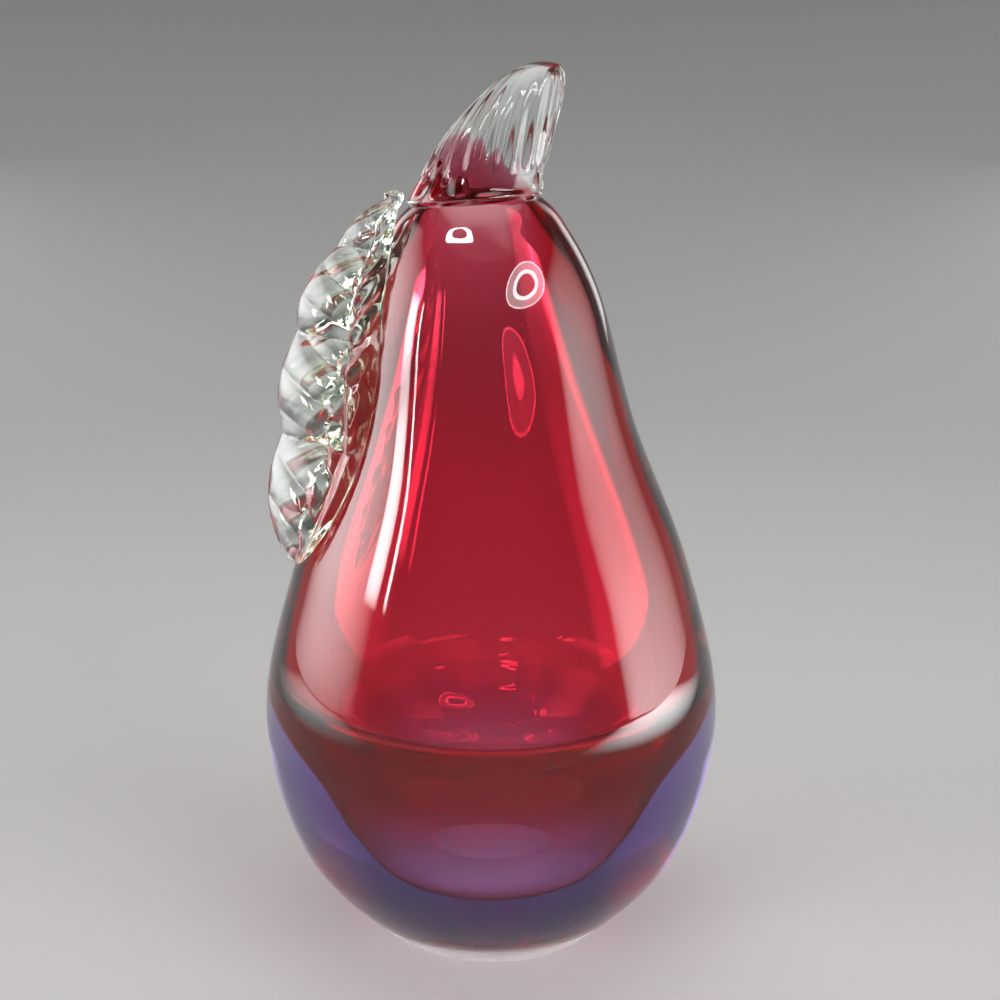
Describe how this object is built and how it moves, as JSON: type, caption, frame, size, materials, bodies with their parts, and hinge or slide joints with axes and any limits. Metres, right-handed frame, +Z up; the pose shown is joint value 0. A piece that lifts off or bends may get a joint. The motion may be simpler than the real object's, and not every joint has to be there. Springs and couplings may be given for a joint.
{
  "type": "glass pear paperweight",
  "caption": "Hollow blown-glass pear: a ruby lining and a blue cup under a thick clear casing, with a ribbed clear stem and a crimped clear leaf, ground flat to stand on a desk.",
  "frame": {"origin": "centre of the ground flat that the pear stands on", "axes": "+Z up through the neck; the front faces -Y, the leaf is on the -X flank and the stem leans to +X"},
  "size_m": [0.0792, 0.0792, 0.152],
  "materials": {
    "clear_casing": "fire polished clear soda glass",
    "ruby_lining": "transparent ruby red glass",
    "blue_cup": "transparent cobalt blue glass, paler towards its rim",
    "stem": "clear soda glass with moulded ribs",
    "leaf": "clear soda glass, crimped while hot"
  },
  "bodies": {
    "root": {"clear_casing": "clear_casing", "ruby_lining": "ruby_lining", "blue_cup": "blue_cup", "stem": "stem", "leaf": "leaf"}
  },
  "joints": []
}
